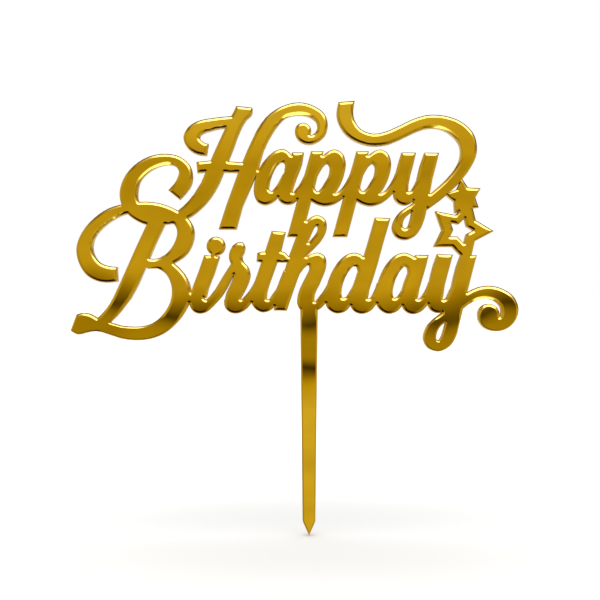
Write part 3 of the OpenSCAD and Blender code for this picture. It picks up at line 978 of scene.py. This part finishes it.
    def spot(self) -> tuple[Socket, Socket]:
        """Finds the place on the sheet at which a ray's target is seen mirrored.

        Returns:
            How far aside and how high it is, in mm.
        """
        back = add_node(self.tree, "ShaderNodeMath", {"operation": "MULTIPLY"}, {
            0: self.axes["Y"], 1: -1 / self.viewer_mm})
        ahead = add_node(self.tree, "ShaderNodeMath", {"operation": "MAXIMUM"}, {
            0: back.outputs["Value"], 1: self.least_ahead / self.viewer_mm})
        aside, height = (
            add_node(self.tree, "ShaderNodeMath", {"operation": "DIVIDE"}, {
                0: self.axes[axis], 1: ahead.outputs["Value"]}) for axis in "XZ")
        return aside.outputs["Value"], height.outputs["Value"]

    def wall_level(self, aside: Socket, height: Socket, spot: Socket) -> Socket:
        """Finds the height on the wall that is seen at a spot, where bands bow and wander.

        Args:
            aside: How far aside the spot is.
            height: How high it is.
            spot: Both as a vector.

        Returns:
            The height. Only the spike, in the middle, sees the lowest bands.
        """
        square = add_node(self.tree, "ShaderNodeMath", {"operation": "MULTIPLY"}, {
            0: aside, 1: aside})
        within = add_node(self.tree, "ShaderNodeMath", {"operation": "MINIMUM"}, {
            0: square.outputs["Value"], 1: self.bow_side_mm ** 2})
        fourth = add_node(self.tree, "ShaderNodeMath", {"operation": "MULTIPLY"}, {
            0: within.outputs["Value"], 1: within.outputs["Value"]})
        leant = add_node(self.tree, "ShaderNodeMath", {"operation": "MULTIPLY_ADD"}, {
            0: aside, 1: self.lean, 2: height})
        bowed = add_node(self.tree, "ShaderNodeMath", {"operation": "MULTIPLY_ADD"}, {
            0: fourth.outputs["Value"], 1: -self.bow, 2: leant.outputs["Value"]})
        patch = add_node(self.tree, "ShaderNodeTexNoise", inputs={
            "Vector": spot, "Scale": 1 / self.patch_mm, "Detail": 1.0})
        shift = add_node(self.tree, "ShaderNodeMapRange", inputs={
            "Value": patch.outputs["Fac"], "To Min": self.viewer_z_mm - self.patch,
            "To Max": self.viewer_z_mm + self.patch})
        raised = add_node(self.tree, "ShaderNodeMath", {"operation": "ADD"}, {
            0: bowed.outputs["Value"], 1: shift.outputs["Result"]})
        lowest = add_node(self.tree, "ShaderNodeMapRange", inputs={
            "Value": square.outputs["Value"], "From Min": self.spike_side_mm ** 2,
            "From Max": self.letter_side_mm ** 2, "To Min": self.low_mm,
            "To Max": self.letter_low_mm})
        level = add_node(self.tree, "ShaderNodeMath", {"operation": "MAXIMUM"}, {
            0: raised.outputs["Value"], 1: lowest.outputs["Result"]})
        return level.outputs["Value"]

    def wall_colour(self) -> Socket:
        """Colour of the wall and the table, with faint slanting clouds.

        Returns:
            The colour.
        """
        aside, height = self.spot()
        spot = add_node(self.tree, "ShaderNodeCombineXYZ", inputs={
            "X": aside, "Y": height}).outputs["Vector"]
        level = self.wall_level(aside, height, spot)
        wall = self.ramp(level, self.low_mm, self.high_mm, self.wall())
        slant = add_node(self.tree, "ShaderNodeMapping", inputs={
            "Vector": spot, "Rotation": (0.0, 0.0, self.shade_turn),
            "Scale": (1.0, self.shade_stretch, 1.0)})
        cloud = add_node(self.tree, "ShaderNodeTexNoise", inputs={
            "Vector": slant.outputs["Vector"], "Scale": 1 / self.shade_mm, "Detail": 2.0})
        light = add_node(self.tree, "ShaderNodeMapRange", inputs={
            "Value": cloud.outputs["Fac"], "From Min": self.shade_span[0],
            "From Max": self.shade_span[1], "To Min": self.shade_gain[0],
            "To Max": self.shade_gain[1]})
        clouded = add_node(self.tree, "ShaderNodeVectorMath", {"operation": "SCALE"}, {
            0: wall, "Scale": light.outputs["Result"]})
        return clouded.outputs["Vector"]

    def card_colour(self) -> Socket:
        """Colour of the cards, from beside the camera to behind the topper.

        Returns:
            The colour.
        """
        up = self.card_height()
        near = self.ramp(up, -1.0, 1.0, self.near_cards())
        far = self.ramp(up, -1.0, 1.0, self.far_cards())
        cards = add_node(self.tree, "ShaderNodeMix", {"data_type": "RGBA"}, {
            "Factor": self.turned(self.far_turn), "A": near, "B": far})
        return cards.outputs["Result"]

    def mirrored_colour(self) -> Socket:
        """Colour that a mirror sees in each direction.

        Returns:
            The colour.
        """
        seen = add_node(self.tree, "ShaderNodeMix", {"data_type": "RGBA"}, {
            "Factor": self.turned(self.card_turn),
            "A": self.wall_colour(), "B": self.card_colour()})
        return seen.outputs["Result"]

    def mirrored_gain(self) -> Socket:
        """Brightness of the long lamp over the camera, against everything else at 1.

        Returns:
            The strength.
        """
        high = add_node(self.tree, "ShaderNodeMapRange", {"interpolation_type": "SMOOTHSTEP"}, {
            "Value": self.card_height(), "From Min": self.lamp_rise[0],
            "From Max": self.lamp_rise[1]})
        there = add_node(self.tree, "ShaderNodeMath", {"operation": "MULTIPLY"}, {
            0: self.turned(self.lamp_start),
            1: self.turned(self.lamp_end[::-1])})
        share = add_node(self.tree, "ShaderNodeMath", {"operation": "MULTIPLY"}, {
            0: there.outputs["Value"], 1: high.outputs["Result"]})
        gain = add_node(self.tree, "ShaderNodeMath", {"operation": "MULTIPLY_ADD"}, {
            0: share.outputs["Value"], 1: self.lamp_gain, 2: 1.0})
        return gain.outputs["Value"]


@dataclass
class Studio:
    """Floor, overhead light and camera. Its sizes are in metres.

    Attributes:
        tip_z: Height of the floor, at the spike's point.
        floor_size: Side of the floor.
        floor_tint: Colour of the paper on it.
        near_fill: Light on the paper by the topper, for the camera alone.
        far_fill: The same far away, where the floor meets the background.
        fade: Distances between which the one gives way to the other.
        lamp_height: Height of the lamp.
        lamp_size: Its width.
        lamp_watts: Its power.
        camera_away: Distance of the camera from the sheet's middle.
        camera_x: Its place from side to side.
        camera_z: Its height.
        view_width: Width of the view at the sheet.
        sensor_mm: Width of the camera's sensor.
        near_clip: Distance from which the camera sees.
    """

    tip_z: float = CAD_BOX[0][2]
    floor_size: float = 400.0
    floor_tint: str = "#DCDCDA"
    near_fill: float = 0.15
    far_fill: float = 0.8
    fade: Span = (20 * MM, 350 * MM)
    lamp_height: float = 0.7
    lamp_size: float = 0.9
    lamp_watts: float = 5.0
    camera_away: float = 360 * MM
    camera_x: float = -3.15 * MM
    camera_z: float = 3.5 * MM
    view_width: float = 210 * MM
    sensor_mm: float = 36.0
    near_clip: float = 10 * MM

    def build_floor(self) -> None:
        """Builds the floor that the spike's point stands on."""
        mesh = bmesh.new()
        bmesh.ops.create_grid(mesh, x_segments=1, y_segments=1, size=self.floor_size / 2)
        bmesh.ops.translate(mesh, verts=mesh.verts, vec=Vector((0, 0, self.tip_z)))
        data = bpy.data.meshes.new("floor")
        mesh.to_mesh(data)
        mesh.free()
        floor = bpy.data.objects.new("floor", data)
        bpy.context.scene.collection.objects.link(floor)
        data.materials.append(self.floor_material())

    def floor_material(self) -> bpy.types.Material:
        """Builds matte white paper that fades to plain white far from the topper.

        Returns:
            The material, which mirrors see through.
        """
        material, tree = new_material("white_paper")
        ray = add_node(tree, "ShaderNodeLightPath")
        place = add_node(tree, "ShaderNodeTexCoord").outputs["Object"]
        across = add_node(tree, "ShaderNodeVectorMath", {"operation": "MULTIPLY"}, {
            0: place, 1: (1.0, 1.0, 0.0)})
        away = add_node(tree, "ShaderNodeVectorMath", {"operation": "LENGTH"}, {
            0: across.outputs["Vector"]})
        fill = add_node(tree, "ShaderNodeMapRange", {"interpolation_type": "SMOOTHSTEP"}, {
            "Value": away.outputs["Value"], "From Min": self.fade[0], "From Max": self.fade[1],
            "To Min": self.near_fill, "To Max": self.far_fill})
        seen = add_node(tree, "ShaderNodeMath", {"operation": "MULTIPLY"}, {
            0: fill.outputs["Result"], 1: ray.outputs["Is Camera Ray"]})
        paper = add_node(tree, "ShaderNodeBsdfDiffuse", inputs={
            "Color": linear(self.floor_tint)})
        glow = add_node(tree, "ShaderNodeEmission", inputs={
            "Color": WHITE, "Strength": seen.outputs["Value"]})
        both = add_node(tree, "ShaderNodeAddShader", inputs={
            0: paper.outputs["BSDF"], 1: glow.outputs["Emission"]})
        clear = add_node(tree, "ShaderNodeBsdfTransparent")
        shader = add_node(tree, "ShaderNodeMixShader", inputs={
            "Fac": ray.outputs["Is Glossy Ray"], 1: both.outputs["Shader"],
            2: clear.outputs["BSDF"]})
        add_node(tree, "ShaderNodeOutputMaterial", inputs={"Surface": shader.outputs["Shader"]})
        return material

    def build_lamp(self) -> None:
        """Hangs a broad soft lamp over the topper."""
        data = bpy.data.lights.new("overhead", "AREA")
        data.shape = "DISK"
        data.size = self.lamp_size
        data.energy = self.lamp_watts
        lamp = bpy.data.objects.new("overhead", data)
        lamp.location = (0, 0, self.lamp_height)
        lamp.visible_glossy = False
        bpy.context.scene.collection.objects.link(lamp)

    def build_camera(self) -> None:
        """Places the camera level, square on to the sheet."""
        data = bpy.data.cameras.new("camera")
        data.sensor_width = self.sensor_mm
        data.lens = self.sensor_mm * self.camera_away / self.view_width
        data.clip_start = self.near_clip
        camera = bpy.data.objects.new("camera", data)
        camera.location = (self.camera_x, -self.camera_away, self.camera_z)
        camera.rotation_euler = (math.radians(90), 0, 0)
        bpy.context.scene.collection.objects.link(camera)
        bpy.context.scene.camera = camera


def main() -> None:
    """Builds the topper's looks and the studio around it."""
    logging.basicConfig(level=logging.INFO)
    bpy.context.scene.view_settings.view_transform = "Standard"
    sheet = AcrylicSheet()
    sheet.dress(sheet.build())
    Backing().dress()
    StudioWorld().build()
    studio = Studio()
    studio.build_floor()
    studio.build_lamp()
    studio.build_camera()


if __name__ == "__main__":
    main()
